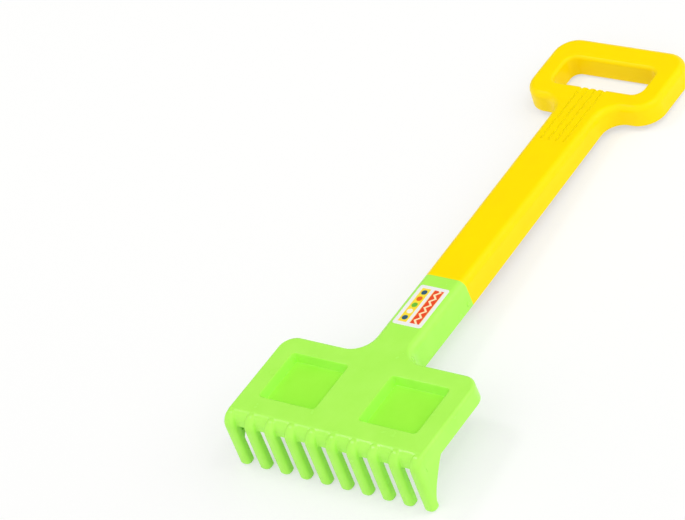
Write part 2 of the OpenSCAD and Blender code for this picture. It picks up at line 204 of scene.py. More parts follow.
@dataclass(frozen=True)
class Outline:
    """A polygon with rounded corners, seen from above, running counterclockwise."""

    corners: np.ndarray  # Rows of x, y and corner radius
    steps: int = 12  # Segments in each corner's arc

    @classmethod
    def rectangle(cls, x: tuple, y: tuple, r: float, steps: int = 12) -> "Outline":
        """A rectangle from the first to the second x and y, with four equal corners."""
        (x0, x1), (y0, y1) = x, y
        return cls(np.array([[x1, y0, r], [x1, y1, r], [x0, y1, r], [x0, y0, r]]), steps)

    @classmethod
    def from_half(cls, half: Sequence[Sequence[float]]) -> "Outline":
        """An outline that is its own mirror image, from the corners of its right half."""
        right = np.array(half, dtype=float)
        return cls(np.concatenate([right, right[::-1] * [-1.0, 1.0, 1.0]]))

    def rings(self, insets: np.ndarray) -> np.ndarray:
        """Closed outlines, one for each row of insets.

        Each side moves inwards along its own normal. Two moved sides meet at the corner's
        new place, and an arc tangent to both rounds it: its centre lies on the line that
        halves the corner, at radius over the sine of half the corner's angle.

        Args:
            insets: Array of levels by sides, where side i runs from corner i to the next,
                or one inset for each level, which then holds for all its sides.

        Returns:
            Array of levels by points by 2.
        """
        at = self.corners[:, :2]
        after = np.broadcast_to(insets.reshape(len(insets), -1), (len(insets), len(at)))
        before = np.roll(after, 1, axis=1)
        ahead = np.roll(at, -1, axis=0) - at
        n2 = unit(np.stack([-ahead[:, 1], ahead[:, 0]], -1))
        n1 = np.roll(n2, 1, axis=0)
        meet = np.stack(
            [before * n2[:, 1] - after * n1[:, 1], after * n1[:, 0] - before * n2[:, 0]], -1
        )
        spot = at + meet / (n1[:, 0] * n2[:, 1] - n1[:, 1] * n2[:, 0])[:, None]
        to_a = unit(np.roll(spot, 1, axis=1) - spot)
        to_b = unit(np.roll(spot, -1, axis=1) - spot)
        hollow = to_a[..., 0] * to_b[..., 1] - to_a[..., 1] * to_b[..., 0] > 0
        change = (before + after) / 2
        radius = np.maximum(self.corners[:, 2] + np.where(hollow, change, -change), FINE)
        half = np.arccos(np.clip((to_a * to_b).sum(-1), -1, 1)) / 2
        centre = spot + unit(to_a + to_b) * (radius / np.sin(half))[..., None]
        start = spot + to_a * (radius / np.tan(half))[..., None] - centre
        turn = np.where(hollow, -1.0, 1.0) * (math.pi - 2 * half)
        angle = turn[..., None] * np.linspace(0.0, 1.0, self.steps + 1)
        cos, sin = np.cos(angle), np.sin(angle)
        x, y = start[..., :1], start[..., 1:]
        arc = np.stack([x * cos - y * sin, x * sin + y * cos], -1)
        return (centre[..., None, :] + arc).reshape(len(insets), -1, 2)


def stacked(rings: np.ndarray, depth: np.ndarray) -> Solid:
    """Closes the surface through rings, each at its own depth below the top.

    Args:
        rings: Array of levels by points by 2.
        depth: Depth of each level.

    Returns:
        The solid, capped at both ends.
    """
    levels, count = rings.shape[:2]
    z = np.repeat(-depth, count)[:, None]
    return Solid(np.concatenate([rings.reshape(-1, 2), z], axis=1), tube_faces(levels, count))


def loft(outline: Outline, depth: np.ndarray, insets: np.ndarray) -> Solid:
    """Solid through an outline at a row of growing depths, with the insets at each."""
    return stacked(outline.rings(insets), depth)


def across(profile: Sequence | np.ndarray, x0: float, x1: float) -> Solid:
    """A side view drawn out across X.

    Args:
        profile: Rows of y and z, counterclockwise.
        x0: Where it starts.
        x1: Where it ends, further along X.

    Returns:
        The closed solid.
    """
    side = np.asarray(profile, dtype=float)
    near = np.column_stack([np.full(len(side), x0), side])
    far = np.column_stack([np.full(len(side), x1), side])
    return Solid(np.concatenate([far, near]), tube_faces(2, len(side)))


def block(low: Sequence[float], high: Sequence[float]) -> Solid:
    """A box between two corners."""
    (x0, y0, z0), (x1, y1, z1) = low, high
    return across([[y0, z0], [y1, z0], [y1, z1], [y0, z1]], x0, x1)


def added(name: str, data: bpy.types.ID) -> bpy.types.Object:
    """Puts a mesh, a lamp or a camera into the scene.

    Args:
        name: Name of the object.
        data: What it shows.

    Returns:
        The object, at the origin.
    """
    made = bpy.data.objects.new(name, data)
    bpy.context.collection.objects.link(made)
    return made


def piece_of(name: str, solid: Solid) -> bpy.types.Object:
    """Makes an object of a solid.

    Args:
        name: Name of the object and of its mesh.
        solid: Its shape.

    Returns:
        The object, in millimetres in the level frame.
    """
    mesh = bpy.data.meshes.new(name)
    mesh.from_pydata(solid.points.tolist(), [], solid.faces)
    mesh.validate()
    return added(name, mesh)


def carved(name: str, base: Solid, steps: Sequence[tuple[Cut, Solid]]) -> bpy.types.Object:
    """Joins solids to a base and takes others from it, one after the other.

    Args:
        name: Name of the piece.
        base: The solid to start from.
        steps: Each solid, after the way in which it acts.

    Returns:
        One object whose mesh is the closed result.
    """
    made = piece_of(name, base)
    tools = []
    for number, (how, solid) in enumerate(steps):
        tool = piece_of(f"{name}_tool_{number}", solid)
        change = made.modifiers.new(f"step_{number}", "BOOLEAN")
        change.operation, change.solver, change.object = how.value, "MANIFOLD", tool
        tools.append(tool)
    graph = bpy.context.evaluated_depsgraph_get()
    result = bpy.data.meshes.new_from_object(made.evaluated_get(graph))
    made.modifiers.clear()
    made.data = result
    result.name = name
    result.materials.clear()
    result.polygons.foreach_set("material_index", [0] * len(result.polygons))
    for tool in tools:
        bpy.data.objects.remove(tool)
    return made


def carved_solid(base: Solid, steps: Sequence[tuple[Cut, Solid]]) -> Solid:
    """Joins and cuts as carved does, and gives the result as arrays.

    Args:
        base: The solid to start from.
        steps: Each solid, after the way in which it acts.

    Returns:
        The closed result.
    """
    made = carved("room", base, steps)
    points = np.empty(len(made.data.vertices) * 3)
    made.data.vertices.foreach_get("co", points)
    solid = Solid(points.reshape(-1, 3), [list(p.vertices) for p in made.data.polygons])
    bpy.data.objects.remove(made)
    return solid


def of_faces(mesh: bpy.types.Mesh, what: OfFace) -> np.ndarray:
    """Reads a vector from every face.

    Args:
        mesh: The mesh.
        what: Which vector it is.

    Returns:
        Three rows: x, y and z.
    """
    values = np.empty(len(mesh.polygons) * 3)
    mesh.polygons.foreach_get(what.value, values)
    return values.reshape(-1, 3).T


# The rake's own sizes, in millimetres


@dataclass(frozen=True)
class Joint:
    """The section that neck and shaft share, and the place where they meet."""

    width: float = 41.2  # Width at the flat top, before its edges are rounded
    height: float = 25.5  # Depth of the section at the joint
    edge_r: float = 6.8  # Radius of the two top edges
    y: float = 95.3  # Place of the joint plane
    tongue: float = 58.0  # Length of the tongue inside the neck
    clear: float = 0.3  # Clearance round the tongue
    wall: float = 2.6  # Wall of the neck round the tongue
    pip_r: float = 2.2  # Radius of a snap pip
    pip_h: float = 0.8  # Height of a snap pip
    pip_back: float = 5.0  # Distance of the pips from the joint plane
    pip_grid: tuple = (7, 32)  # Rings of a pip, and points in each
    pip_crown: float = 0.08  # Share of a pip's quarter turn that its flat crown takes
    edge_steps: int = 10  # Steps over the rounding of a top edge

    @property
    def half(self) -> float:
        """Half the width at the flat top."""
        return self.width / 2

    @property
    def seat(self) -> float:
        """How far the tongue lies inside the neck's outer form."""
        return self.wall + self.clear

    @property
    def tongue_end(self) -> float:
        """Place of the tongue's end."""
        return self.y - self.tongue

    @property
    def socket_end(self) -> float:
        """Place of the socket's end, which leaves room in front of the tongue."""
        return self.y - self.tongue - 3 * self.clear

    @property
    def pip_z(self) -> float:
        """Height of the pips, just above the tongue's lower rim."""
        return self.pip_r + self.clear - (self.height - self.wall - self.clear)

    def straight(self, far: float, sides: float, ends: tuple, top: float, low: float) -> Solid:
        """A straight length of the section, some way inside the neck.

        The side walls lean outwards with the draft, and the top edges keep the neck's
        rounding less what has been taken off.

        Args:
            far: Place of its end inside the neck.
            sides: Inset of both side walls.
            ends: Insets of the end at the joint and of the end inside the neck.
            top: Depth of its top face.
            low: Depth of its bottom.

        Returns:
            The closed solid.
        """
        outline = Outline.rectangle((-self.half, self.half), (far, self.y), 0, 1)
        r = self.edge_r - top
        depth = np.append(top + quarter(r, self.edge_steps), low)
        side = sides + rounding(r, depth - top) - LEAN * depth
        near, inner = (np.full_like(depth, end) for end in ends)
        return loft(outline, depth, np.stack([side, near, side, inner], 1))

    def pip(self, x: float, grow: float = 0.0) -> Solid:
        """A low dome that stands out from a plane across X: a quarter ellipse turned round.

        Its rings are turned by half a step, so that none of their points lies on the
        drafted wall.

        Args:
            x: Place of the plane.
            grow: How much larger than a pip it is, all round.

        Returns:
            The dome, with a short stem behind the plane.
        """
        levels, count = self.pip_grid
        turn = np.linspace(self.pip_crown, 1.0, levels) * math.pi / 2
        out = np.append(x + (self.pip_h + grow) * np.cos(turn), x - self.pip_h)
        radius = (self.pip_r + grow) * np.append(np.sin(turn), 1.0)
        angle = (np.arange(count) + 0.5) * math.pi * 2 / count
        y = self.y - self.pip_back + radius[:, None] * np.cos(angle)
        z = self.pip_z + radius[:, None] * np.sin(angle)
        rings = np.stack([np.broadcast_to(out[:, None], y.shape), y, z], -1)
        return Solid(rings.reshape(-1, 3), tube_faces(*y.shape))


@dataclass
class Moulding:
    """What head and handle have in common: one drafted form with even walls, open below."""

    joint: Joint  # The section and place where both meet
    wall: float = 2.6
    rib: float = 1.8
    rib_shy: float = 4.0  # How far the ribs stay above the rims
    skin_steps: int = 14  # Steps over the outer top edges
    room_steps: int = 10  # Steps over the inner ones

    @property
    def low(self) -> float:
        """A depth that is below all rims."""
        return self.joint.height + 2 * OVER

    def outline(self) -> Outline:
        """The form seen from above, which each moulding gives."""
        raise NotImplementedError

    def rims(self) -> np.ndarray:
        """Rounding of the top edge on each side of the outline, which each moulding gives."""
        raise NotImplementedError

    def inside(self, walls: np.ndarray) -> Solid:
        """The room inside the walls, whose edges follow the outer ones.

        Args:
            walls: Thickness of the wall on each side of the outline.

        Returns:
            A closed solid that reaches below all rims.
        """
        rims = np.maximum(self.rims() - self.wall, TIGHT)
        depth = np.append(self.wall + quarter(rims.max(), self.room_steps), self.low)
        return loft(self.outline(), depth, drafted(rims, depth, walls, self.wall))


@dataclass
class Head(Moulding):
    """The rake head: plate, pockets, rolled front, tines, gussets and neck, in one moulding."""

    skin_steps: int = 16
    room_steps: int = 12
    width: float = 194.6  # Plate's width at its top
    length: float = 95.0  # Plate's length from the back edge to the front
    skirt: float = 16.0  # Depth of the plate's side and back walls
    web: float = 12.3  # Depth of the front wall between the tines
    corner_r: float = 14.5  # Radius of the back corners, seen from above
    front_r: float = 5.0  # Radius of the front corners, seen from above
    edge_r: float = 2.6  # Radius of the top edge at the sides and the back
    roll_r: float = 8.5  # Radius of the top edge at the front
    fillet_r: float = 19.0  # Radius between plate and neck, seen from above
    pocket: tuple = (57.2, 52.4)  # Each pocket's size across and along
    pocket_gap: float = 43.3  # Distance between the two pockets
    pocket_back: float = 17.8  # Distance from the plate's back edge to the pockets
    pocket_depth: float = 6.3
    pocket_run: float = 3.7  # How far a pocket's walls run in on their way down
    pocket_r: float = 3.4  # Radius of a pocket's corners, seen from above
    pocket_lips: tuple = (1.6, 0.7)  # Radii of a pocket's lip and foot
    pocket_steps: int = 10  # Steps round such a corner
    pocket_points: int = 7  # Points over a lip or a foot
    tines: int = 10
    tine_width: float = 10.4
    tine_depth: float = 8.2  # Depth of a tine from front to back
    tine_proud: float = 5.5  # How far the tines stand out from the front
    tine_drop: float = 54.0  # Distance from the flat top down to the tips
    tine_roll_r: float = 11.0  # Outer radius of a tine where it turns from the top face to the front
    tine_root: float = 4.5  # Length of the flat root that a tine has inside the plate
    tine_nose_r: float = 4.0  # Radius of a tine's front edges
    tine_back_r: float = 0.8  # Radius of a tine's back edges
    # Most of a tine's depth that a front or a back edge may take at its tip
    tine_share: tuple = (0.54, 0.45)
    tine_tip_r: float = 2.2  # Rounding of the tip across
    tine_toe_r: float = 2.8  # Rounding of the tip from front to back
    tine_toe_up: float = 0.2  # How much higher than half round toes the squarer toes end
    tine_turn: float = 86.0  # Angle at which a tip starts, just short of a point, in degrees
    tine_points: tuple = (12, 19, 9)  # Points over a tip, over a roll and over each edge
    tine_out: float = 0.1  # How far the end tines stand out past the skirts
    tine_sink: float = 0.2  # How far the roll's top lies below the flat top
    root_fillet: float = 1.3  # Radius of the web's swell beside a tine
    root_steps: int = 9  # Points over that swell
    gusset: tuple = (22.0, 19.0)  # Length of a gusset below the skirt, and its depth there
    gusset_bend: float = 3.4  # How far in front of the gusset's foot its curve bends
    gusset_foot: float = 11.0  # Length of the gusset's foot on the tine
    gusset_points: int = 9  # Points along a gusset's curve

    @property
    def half(self) -> float:
        """Half the plate's width at its top."""
        return self.width / 2

    @property
    def tine_places(self) -> np.ndarray:
        """Places of the tines along X."""
        row = self.half + LEAN * self.skirt + self.tine_out - self.tine_width / 2
        return np.linspace(-row, row, self.tines)

    @property
    def front(self) -> float:
        """Place of the tines' front faces."""
        return -self.length - self.tine_proud

    @property
    def pocket_middle(self) -> tuple:
        """Middle of the right pocket, seen from above."""
        return (self.pocket_gap + self.pocket[0]) / 2, -self.pocket_back - self.pocket[1] / 2

    def outline(self) -> Outline:
        """Plate and neck seen from above."""
        neck = self.joint
        return Outline.from_half(
            [
                [self.half, -self.length, self.front_r],
                [self.half, 0, self.corner_r],
                [neck.half, 0, self.fillet_r],
                [neck.half, neck.y + OVER, 0],
            ]
        )

    def rims(self) -> np.ndarray:
        """Rounding of the top edge on each side: the fourth is the neck's end, the last the front."""
        e, n = self.edge_r, self.joint.edge_r
        return np.array([e, e, n, 0.0, n, e, e, self.roll_r])

    def flare(self, x: np.ndarray) -> np.ndarray:
        """How far the web swells out beside each tine.

        A quarter circle whose radius is root_fillet: nothing at that distance from a tine's
        side, and the whole radius at the side itself and behind the tine.

        Args:
            x: Places across the front.

        Returns:
            The swell at each place.
        """
        r = self.root_fillet
        off = from_nearest(x, self.tine_places) - self.tine_width / 2
        return fall(r, r - np.clip(off, 0, r))

    def skin(self) -> Solid:
        """The outer form, with its front side divided finely so that it swells at each tine.

        The swell grows from nothing at the top with the root of the depth, up to the depth
        of the roll.

        Returns:
            A closed solid that reaches below all rims.
        """
        low = [self.web - OVER, self.web + OVER, self.joint.height + OVER]
        depth = np.append(quarter(self.roll_r, self.skin_steps), low)
        insets = drafted(self.rims(), depth)
        away = np.linspace(0, 1, self.root_steps) * self.root_fillet + self.tine_width / 2
        x = (self.tine_places[:, None] + np.concatenate([-away[::-1], away])).ravel()
        x = x[np.abs(x) < self.half - self.roll_r]
        reach = np.clip((depth - TIGHT) / self.roll_r, 0, 1) ** 0.5
        y = -self.length + insets[:, -1:] - reach[:, None] * self.flare(x)
        front = np.stack([np.broadcast_to(x, y.shape), y], -1)
        return stacked(np.concatenate([self.outline().rings(insets), front], axis=1), depth)

    def side_view(self) -> Solid:
        """All that the plate and neck may fill, seen from the side.

        Returns:
            A closed solid that is wider than the head.
        """
        start = -self.length - 2 * OVER
        end = -self.length + self.wall + self.rib
        neck = self.joint
        view = [
            [start, OVER],
            [start, -self.web],
            [end, -self.web],
            [end, -self.skirt],
            [0, -self.skirt],
            [self.skirt, -neck.height],
            [neck.y, -neck.height],
            [neck.y, OVER],
        ]
        return across(view, -self.width, self.width)

    def tine(self) -> Solid:
        """One tine at x = 0: a rounded section carried from the tip up and over its roll.

        The section has two coordinates, x and the distance out from a path. The path runs up
        from the tip, turns about the roll's centre and ends flat inside the plate. Over the
        tip the section shrinks as a quarter ellipse across, and as a quarter circle from
        front to back.

        Returns:
            A closed solid whose root lies inside the plate.
        """
        roll_y, roll_z = self.front + self.tine_roll_r, -self.tine_roll_r - self.tine_sink
        toe_r = self.tine_depth / 2
        middle = self.tine_roll_r - toe_r
        tip_points, roll_points, edge_points = self.tine_points
        tip = np.radians(np.linspace(self.tine_turn, 0, tip_points))
        turn = np.linspace(0, math.pi / 2, roll_points)
        inside = roll_y + self.tine_root * np.arange(1, 4) / 3
        tip_z = self.tine_toe_up - self.tine_drop + self.tine_toe_r * (1 - np.sin(tip))
        path_y = np.concatenate([np.full(len(tip) + len(turn), roll_y), inside])
        path_z = np.concatenate([tip_z, np.full(len(turn) + len(inside), roll_z)])
        angle = np.concatenate([np.zeros(len(tip)), turn, np.full(len(inside), math.pi / 2)])
        shrink = np.ones(len(path_y))
        shrink[: len(tip)] = np.cos(tip)
        half = self.tine_width / 2 - self.tine_tip_r * (1 - shrink)
        thin = toe_r - self.tine_toe_r * (1 - shrink)
        most_front, most_back = (share * 2 * thin for share in self.tine_share)
        front_r = np.minimum(self.tine_nose_r, np.minimum(half, most_front))
        back_r = np.minimum(self.tine_back_r + self.tine_nose_r * (1 - shrink), most_back)
        x, out = [], []
        for first, (side, face) in enumerate(((1, 1), (-1, 1), (-1, -1), (1, -1))):
            r = front_r if face > 0 else back_r
            bend = np.linspace(0, math.pi / 2, edge_points) + first * math.pi / 2
            x.append((side * (half - r))[:, None] + r[:, None] * np.cos(bend))
            out.append((middle + face * (thin - r))[:, None] + r[:, None] * np.sin(bend))
        x, out = np.concatenate(x, 1), np.concatenate(out, 1)
        y = path_y[:, None] - out * np.cos(angle)[:, None]
        z = path_z[:, None] + out * np.sin(angle)[:, None]
        return Solid(np.stack([x, y, z], -1).reshape(-1, 3), tube_faces(*x.shape))

    def gusset_plates(self) -> Solid:
        """The two plates that run from the side skirts down into the end tines.

        Returns:
            Both plates in one solid.
        """
        back = self.front + self.tine_depth
        toe = self.front + self.tine_depth / 2
        start, low = back + self.gusset[0], -self.skirt - self.gusset[1]
        foot = low - self.gusset_foot
        bends = [[start, -self.skirt], [back + self.gusset_bend, low], [back, foot]]
        edge = curve(bends, self.gusset_points)
        top = -self.web + self.wall
        profile = np.concatenate([[[toe, foot]], edge[::-1], [[start, top], [toe, top]]])
        outer = self.half + LEAN * self.skirt / 2
        return both(across(profile, outer - self.wall, outer))

    def pocket_outline(self) -> Outline:
        """The right pocket's rim seen from above.

        Returns:
            The outline of the rim.
        """
        x, w = self.pocket_middle[0], self.pocket[0] / 2
        y = -self.pocket_back
        return Outline.rectangle((x - w, x + w), (y - self.pocket[1], y), self.pocket_r, self.pocket_steps)

    def pocket_hollow(self) -> Solid:
        """A pocket: a soft lip, a straight slope, a soft foot and a flat floor.

        The lip and the foot are arcs that touch the slope, so inset and depth follow the
        sine and cosine of the slope's angle there.

        Returns:
            The closed solid that is taken out for the right pocket.
        """
        lip, foot = self.pocket_lips
        slope = math.atan2(self.pocket_depth, self.pocket_run)
        bend = np.linspace(0, slope, self.pocket_points)
        lip_in = -lip * math.tan(slope / 2) + lip * np.sin(bend)
        lip_low = lip * (1 - np.cos(bend))
        foot_in = self.pocket_run + foot * math.tan(slope / 2) - foot * np.sin(bend[::-1])
        foot_low = self.pocket_depth - foot * (1 - np.cos(bend[::-1]))
        inset = np.concatenate([[lip_in[0]], lip_in, foot_in])
        return loft(self.pocket_outline(), np.concatenate([[-OVER], lip_low, foot_low]), inset)

    def pan(self) -> Solid:
        """What stays of the underside below a pocket."""
        inset = np.array([-self.wall, self.pocket_run - self.wall])
        return loft(self.pocket_outline(), np.array([0.0, self.pocket_depth + self.wall]), inset)

    def ribs(self) -> list:
        """Ribs under the plate: one across, four along.

        Returns:
            Closed solids, which are left standing in the open underside.
        """
        low, t = self.rib_shy - self.skirt, self.rib / 2
        middle_x, middle_y = self.pocket_middle
        made = [block((-self.width, middle_y - t, low), (self.width, middle_y + t, OVER))]
        for x in (self.joint.half - self.wall - self.rib, middle_x):
            made.append(both(block((x - t, -self.length, low), (x + t, self.joint.y, OVER))))
        return made

    def hollow(self) -> Solid:
        """The open underside, round the pockets' pans and round the ribs.

        Returns:
            The closed solid that is taken out below.
        """
        neck = self.joint
        # Side 3 is the open end at the neck. The front, side 7, stays clear of its own lean
        walls = np.full(8, self.wall)
        walls[3] = 0.0
        walls[7] += LEAN * neck.height
        back = neck.socket_end - self.wall
        room = block((-self.width, -self.length, -self.low - OVER), (self.width, back, 0))
        steps = [(Cut.KEEP, room), (Cut.TAKE, both(self.pan()))]
        steps += [(Cut.TAKE, rib) for rib in self.ribs()]
        return carved_solid(self.inside(walls), steps)

    def build(self) -> bpy.types.Object:
        """Joins and cuts the solids of the head, and marks the pockets' faces for their painted shade.

        Returns:
            The head in the level frame.
        """
        neck = self.joint
        side = neck.half + LEAN * -neck.pip_z
        one = self.tine()
        low = neck.height - self.wall
        socket = neck.straight(neck.socket_end, self.wall, (-OVER, 0.0), self.wall, low)
        made = carved(
            "rake_head_moulding",
            self.skin(),
            [
                (Cut.KEEP, self.side_view()),
                (Cut.JOIN, gathered([one.moved(x) for x in self.tine_places.tolist()])),
                (Cut.JOIN, self.gusset_plates()),
                (Cut.JOIN, both(neck.pip(side))),
                (Cut.TAKE, self.hollow()),
                (Cut.TAKE, both(self.pocket_hollow())),
                (Cut.TAKE, socket),
                (Cut.TAKE, both(neck.pip(side - self.wall - neck.clear, neck.clear))),
            ],
        )
        self.mark_pocket_shade(made.data)
        return made

    def mark_pocket_shade(self, mesh: bpy.types.Mesh) -> None:
        """Gives the faces of both pockets the second finish, a darker green that is painted shade.

        They are the faces that look upwards between the top face and the pockets' floors,
        within the pockets' rims.

        Args:
            mesh: The head's mesh in the level frame.
        """
        x, y, z = of_faces(mesh, OfFace.MIDDLE)
        up = of_faces(mesh, OfFace.NORMAL)[2]
        middle_x, middle_y = self.pocket_middle
        off_x = np.abs(np.abs(x) - middle_x) - self.pocket[0] / 2
        off_y = np.abs(y - middle_y) - self.pocket[1] / 2
        within = (off_x < OVER) & (off_y < OVER)
        sunk = (z < -FINE) & (z > -self.pocket_depth - TIGHT) & (up > FINE)
        mesh.polygons.foreach_set("material_index", (within & sunk).astype(np.int32))


@dataclass
class Handle(Moulding):
    """The handle: shaft, D-grip with its hand slot, grooves and the tongue, in one moulding."""

    wall: float = 2.4
    length: float = 308.0  # Length from the joint to the grip's far end
    shaft: float = 46.6  # Width of the shaft where it meets the grip
    depth: float = 19.5  # Depth of the grip
    taper: float = 215.0  # Length over which the shaft's depth falls to that of the grip
    cross_ribs: int = 7  # Number of ribs across the shaft
    grip_ribs: int = 5  # Number of ribs in the grip's bar
    tongue_ribs: int = 3  # Number of ribs across the tongue
    grip: tuple = (132.0, 78.0)  # Width and length of the grip
    grip_corner_r: float = 21.0  # Radius of the grip's corners, seen from above
    grip_fillet_r: float = 18.0  # Radius between shaft and grip, seen from above
    grip_edge_r: float = 6.0  # Radius of the grip's top edge
    slot: tuple = (91.0, 34.5)  # Width and length of the hand slot
    bar: float = 25.0  # Width of the bar behind the slot
    slot_r: float = 9.0  # Radius of the slot's corners, seen from above
    slot_edge_r: float = 3.6  # Radius of the slot's top edge
    slot_steps: int = 10  # Steps over that edge
    grooves: int = 4
    groove_pitch: float = 7.7  # Distance from one groove to the next
    groove: tuple = (1.9, 1.5, 72.0)  # Width, depth and length of a groove
    groove_turn: float = 80.0  # How far its floor turns up to the walls, in degrees
    groove_points: int = 7  # Points from its wall to the middle of its floor
    groove_steps: int = 6  # Steps round each quarter of its ends
    mouth_r: float = 3.2  # Radius of the scoop at a groove's end
    mouth_depth: float = 1.5  # Depth of that scoop in the slot's rim
    mouth_fall: float = 45.0  # Its angle below level, in degrees
    mouth_points: int = 24  # Points round that scoop

    @property
    def end(self) -> float:
        """Far end of the grip."""
        return self.joint.y + self.length

    @property
    def near(self) -> float:
        """Edge of the grip towards the shaft."""
        return self.end - self.grip[1]

    @property
    def groove_places(self) -> np.ndarray:
        """Places of the grooves along X."""
        return (np.arange(self.grooves) - (self.grooves - 1) / 2) * self.groove_pitch

    @property
    def slot_span(self) -> tuple:
        """Both long edges of the hand slot."""
        far = self.end - self.bar
        return far - self.slot[1], far

    def outline(self) -> Outline:
        """Shaft and grip seen from above.

        Returns:
            The outline of shaft and grip.
        """
        neck, shaft, half = self.joint, self.shaft / 2, self.grip[0] / 2
        flare = (shaft - neck.half) / (self.near - neck.y)
        return Outline.from_half(
            [
                [neck.half - flare * OVER, neck.y - OVER, 0],
                [shaft, self.near, self.grip_fillet_r],
                [half, self.near, self.grip_corner_r],
                [half, self.end, self.grip_corner_r],
            ]
        )

    def rims(self) -> np.ndarray:
        """Rounding of the top edge on each side: the last is the end at the joint."""
        n, g = self.joint.edge_r, self.grip_edge_r
        return np.array([n, g, g, g, g, g, n, 0.0])

    def skin(self) -> Solid:
        """The outer form of shaft and grip."""
        depth = np.append(quarter(self.rims().max(), self.skin_steps), self.joint.height + OVER)
        return loft(self.outline(), depth, drafted(self.rims(), depth))

    def side_view(self, shy: float) -> Solid:
        """All that the handle may fill, seen from the side, with its rim raised by shy.

        Args:
            shy: How far the rim is raised.

        Returns:
            A closed solid that is wider than the handle.
        """
        start, far = self.joint.y, self.end + self.depth
        view = [
            [start, shy - self.joint.height],
            [start + self.taper, shy - self.depth],
            [far, shy - self.depth],
            [far, OVER],
            [start, OVER],
        ]
        return across(view, -self.grip[0], self.grip[0])

    def slot_hollow(self, grow: float, low: float) -> Solid:
        """The hand slot: wide at its rounded top edge, then drafted inwards.

        Args:
            grow: How much wider it is than the slot, all round.
            low: Depth at which it ends.

        Returns:
            A closed solid.
        """
        half, edge = self.slot[0] / 2, self.slot_edge_r
        depth = np.append(quarter(edge, self.slot_steps), low)
        inset = LEAN * depth - rounding(edge, depth) - grow
        depth, inset = np.append(-OVER, depth), np.append(-edge - grow, inset)
        return loft(Outline.rectangle((-half, half), self.slot_span, self.slot_r), depth, inset)

    def groove_hollow(self) -> Solid:
        """One groove at x = 0: straight walls, then a half round floor, with round ends.

        Returns:
            A closed solid that ends past the slot's rim.
        """
        width, depth, length = self.groove
        r = width / 2
        rim = self.slot_span[0]
        span = (rim - length, rim + self.slot_edge_r)
        bend = np.radians(np.linspace(0, self.groove_turn, self.groove_points))
        inset = np.append(0.0, r * (1 - np.cos(bend)))
        low = np.append(-OVER, depth - r + r * np.sin(bend))
        return loft(Outline.rectangle((-r, r), span, r - HAIR, self.groove_steps), low, inset)

    def groove_mouth(self) -> Solid:
        """The scoop at x = 0 where a groove runs out over the slot's rounded rim.

        A round bar that lies along the rim's fall: its axis is parallel to a tangent of the
        rim's circle, and it reaches mouth_depth into the rim where they would touch.

        Returns:
            The closed bar.
        """
        turn = math.radians(self.mouth_fall)
        out = np.array([0.0, math.sin(turn), math.cos(turn)])
        down = np.array([0.0, math.cos(turn), -math.sin(turn)]) * 2 * self.slot_edge_r
        rim = np.array([0.0, self.slot_span[0] - self.slot_edge_r, -self.slot_edge_r])
        middle = rim + out * (self.slot_edge_r - self.mouth_depth + self.mouth_r)
        angle = np.linspace(0, 2 * math.pi, self.mouth_points, endpoint=False)[:, None]
        ring = middle + self.mouth_r * (np.cos(angle) * [1.0, 0.0, 0.0] + np.sin(angle) * out)
        return Solid(np.concatenate([ring - down, ring + down]), tube_faces(2, len(angle)))

    def ribs(self) -> Solid:
        """Cross ribs and one long rib in the shaft, and short ribs in the grip.

        Returns:
            All ribs in one closed solid, cut off above the rims.
        """
        low, t, w = -self.joint.height, self.rib / 2, self.grip[0]
        mid = sum(self.slot_span) / 2
        step = (self.near - self.joint.y) / self.cross_ribs
        spans = [((-t, self.joint.y), (t, mid)), ((-w, mid - t), (w, mid + t))]
        for y in self.joint.y + step * np.arange(1, self.cross_ribs + 1):
            spans.append(((-w, y - t), (w, y + t)))
        for x in self.slot[0] / self.grip_ribs * (np.arange(self.grip_ribs) - self.grip_ribs // 2):
            spans.append(((x - t, mid), (x + t, self.end)))
        first, *others = [block((*a, low), (*b, OVER)) for a, b in spans]
        steps = [(Cut.JOIN, b) for b in others] + [(Cut.KEEP, self.side_view(self.rib_shy))]
        return carved_solid(first, steps)

    def hollow(self) -> Solid:
        """The open underside of shaft and grip.

        Returns:
            The closed solid that is taken out below.
        """
        # Side 7 is the end at the joint, and the outline starts before that
        walls = np.full(8, self.wall)
        walls[7] += OVER
        slot = self.slot_hollow(self.wall, self.low + OVER)
        return carved_solid(self.inside(walls), [(Cut.TAKE, slot), (Cut.TAKE, self.ribs())])

    def tongue_hollow(self) -> Solid:
        """The open underside of the tongue, round its cross ribs.

        Returns:
            The closed solid that is taken out of the tongue.
        """
        neck, t = self.joint, self.rib / 2
        inner = neck.seat + self.wall
        ends = (self.wall / 2, self.wall)
        base = neck.straight(neck.tongue_end, inner, ends, inner, neck.height + OVER)
        low = self.rib_shy - (neck.height - neck.seat)
        bays = self.tongue_ribs + 1
        places = [neck.y - i * neck.tongue / bays for i in range(1, bays)]
        ribs = [block((-neck.half, y - t, low), (neck.half, y + t, 0)) for y in places]
        return carved_solid(base, [(Cut.TAKE, rib) for rib in ribs])

    def build(self) -> bpy.types.Object:
        """Joins and cuts the solids of the handle, and marks the grooves' faces for their painted shade.

        Returns:
            The handle in the level frame.
        """
        neck = self.joint
        plane = neck.half - neck.seat + LEAN * -neck.pip_z
        ends = (-self.wall / 2, 0.0)
        tongue = neck.straight(neck.tongue_end, neck.seat, ends, neck.seat, neck.height - neck.seat)
        row = self.groove_places.tolist()
        made = carved(
            "handle_moulding",
            self.skin(),
            [
                (Cut.KEEP, self.side_view(0.0)),
                (Cut.JOIN, tongue),
                (Cut.JOIN, both(neck.pip(plane))),
                (Cut.TAKE, self.hollow()),
                (Cut.TAKE, self.tongue_hollow()),
                (Cut.TAKE, self.slot_hollow(0.0, self.low)),
                (Cut.TAKE, gathered([self.groove_hollow().moved(x) for x in row])),
                (Cut.TAKE, gathered([self.groove_mouth().moved(x) for x in row])),
            ],
        )
        self.mark_groove_shade(made.data)
        return made

